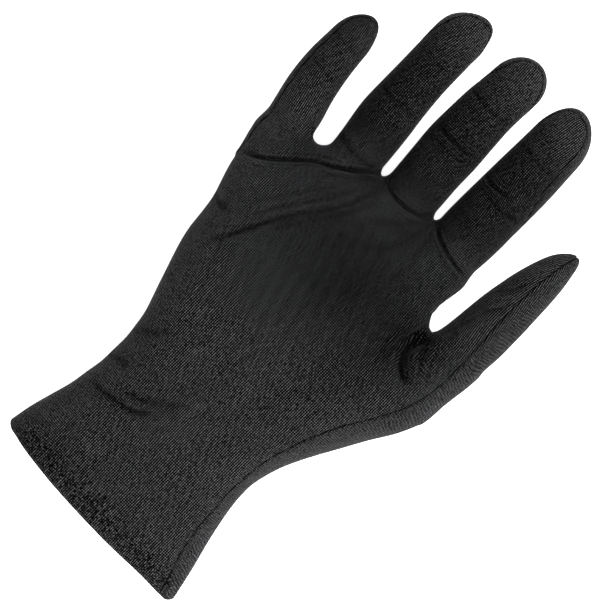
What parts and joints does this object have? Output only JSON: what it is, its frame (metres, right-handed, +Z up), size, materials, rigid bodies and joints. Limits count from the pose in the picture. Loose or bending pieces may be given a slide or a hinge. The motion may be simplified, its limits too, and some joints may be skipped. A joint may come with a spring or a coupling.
{
  "type": "dress glove",
  "caption": "Close-fitting wrist-length dress glove of black stretch jersey for the right hand, palm and back seamed edge to edge, with fingers and thumb that bend.",
  "frame": {"origin": "on the flat spot of the back panel that the glove lies on, under the middle of the hand", "axes": "+Z up, the way the palm faces; +Y towards the fingertips; +X towards the thumb"},
  "size_m": [0.1304, 0.2391, 0.036],
  "materials": {
    "jersey": "black polyester stretch jersey, fine wales, soft satin sheen",
    "thread": "black textured polyester sewing thread"
  },
  "bodies": {
    "hand": {"palm_panel": "jersey", "back_panel": "jersey", "palm_hem": "jersey", "back_hem": "jersey", "hem_stitching": "thread", "thumb_side_seam_thread": "thread", "little_side_seam_thread": "thread"},
    "index_lower": {"index_lower_pad": "jersey", "index_lower_back": "jersey"},
    "index_middle": {"index_middle_pad": "jersey", "index_middle_back": "jersey"},
    "index_tip": {"index_tip_pad": "jersey", "index_tip_back": "jersey"},
    "middle_lower": {"middle_lower_pad": "jersey", "middle_lower_back": "jersey"},
    "middle_middle": {"middle_middle_pad": "jersey", "middle_middle_back": "jersey"},
    "middle_tip": {"middle_tip_pad": "jersey", "middle_tip_back": "jersey"},
    "ring_lower": {"ring_lower_pad": "jersey", "ring_lower_back": "jersey"},
    "ring_middle": {"ring_middle_pad": "jersey", "ring_middle_back": "jersey"},
    "ring_tip": {"ring_tip_pad": "jersey", "ring_tip_back": "jersey"},
    "little_lower": {"little_lower_pad": "jersey", "little_lower_back": "jersey"},
    "little_middle": {"little_middle_pad": "jersey", "little_middle_back": "jersey"},
    "little_tip": {"little_tip_pad": "jersey", "little_tip_back": "jersey"},
    "thumb_lower": {"thumb_lower_pad": "jersey", "thumb_lower_back": "jersey"},
    "thumb_tip": {"thumb_tip_pad": "jersey", "thumb_tip_back": "jersey"}
  },
  "joints": [
    {"name": "index_base_bend", "type": "hinge", "parent": "hand", "child": "index_lower", "pos_m": [0.02755, 0.086, 0.0205], "axis": [1, 0, 0], "range_deg": [0, 72]},
    {"name": "index_knuckle_bend", "type": "hinge", "parent": "index_lower", "child": "index_middle", "pos_m": [0.02755, 0.107, 0.0211], "axis": [1, 0, 0], "range_deg": [0, 85]},
    {"name": "index_end_bend", "type": "hinge", "parent": "index_middle", "child": "index_tip", "pos_m": [0.02755, 0.1255, 0.02213], "axis": [1, 0, 0], "range_deg": [0, 50]},
    {"name": "middle_base_bend", "type": "hinge", "parent": "hand", "child": "middle_lower", "pos_m": [0.0015, 0.086, 0.02003], "axis": [0.9998, 0.0209, 0], "range_deg": [0, 72]},
    {"name": "middle_knuckle_bend", "type": "hinge", "parent": "middle_lower", "child": "middle_middle", "pos_m": [0.00102, 0.10899, 0.02064], "axis": [0.9998, 0.0209, 0], "range_deg": [0, 85]},
    {"name": "middle_end_bend", "type": "hinge", "parent": "middle_middle", "child": "middle_tip", "pos_m": [0.00065, 0.12649, 0.02114], "axis": [0.9998, 0.0209, 0], "range_deg": [0, 50]},
    {"name": "ring_base_bend", "type": "hinge", "parent": "hand", "child": "ring_lower", "pos_m": [-0.02345, 0.084, 0.0194], "axis": [0.9986, 0.0523, 0], "range_deg": [0, 72]},
    {"name": "ring_knuckle_bend", "type": "hinge", "parent": "ring_lower", "child": "ring_middle", "pos_m": [-0.02455, 0.10497, 0.01991], "axis": [0.9986, 0.0523, 0], "range_deg": [0, 85]},
    {"name": "ring_end_bend", "type": "hinge", "parent": "ring_middle", "child": "ring_tip", "pos_m": [-0.02562, 0.12544, 0.02088], "axis": [0.9986, 0.0523, 0], "range_deg": [0, 50]},
    {"name": "little_base_bend", "type": "hinge", "parent": "hand", "child": "little_lower", "pos_m": [-0.05025, 0.076, 0.01907], "axis": [0.9945, 0.1045, 0], "range_deg": [0, 72]},
    {"name": "little_knuckle_bend", "type": "hinge", "parent": "little_lower", "child": "little_middle", "pos_m": [-0.05203, 0.09291, 0.01888], "axis": [0.9945, 0.1045, 0], "range_deg": [0, 85]},
    {"name": "little_end_bend", "type": "hinge", "parent": "little_middle", "child": "little_tip", "pos_m": [-0.05339, 0.10584, 0.01952], "axis": [0.9945, 0.1045, 0], "range_deg": [0, 50]},
    {"name": "thumb_base_bend", "type": "hinge", "parent": "hand", "child": "thumb_lower", "pos_m": [0.05413, 0.05415, 0.0245], "axis": [0.9629, -0.0758, 0.2588], "range_deg": [0, 30]},
    {"name": "thumb_knuckle_bend", "type": "hinge", "parent": "thumb_lower", "child": "thumb_tip", "pos_m": [0.05675, 0.08303, 0.0232], "axis": [0.9629, -0.0758, 0.2588], "range_deg": [0, 45]}
  ],
  "couplings": [
    {"joint": "index_end_bend", "follows": "index_knuckle_bend", "ratio": 0.588},
    {"joint": "middle_end_bend", "follows": "middle_knuckle_bend", "ratio": 0.588},
    {"joint": "ring_end_bend", "follows": "ring_knuckle_bend", "ratio": 0.588},
    {"joint": "little_end_bend", "follows": "little_knuckle_bend", "ratio": 0.588}
  ]
}
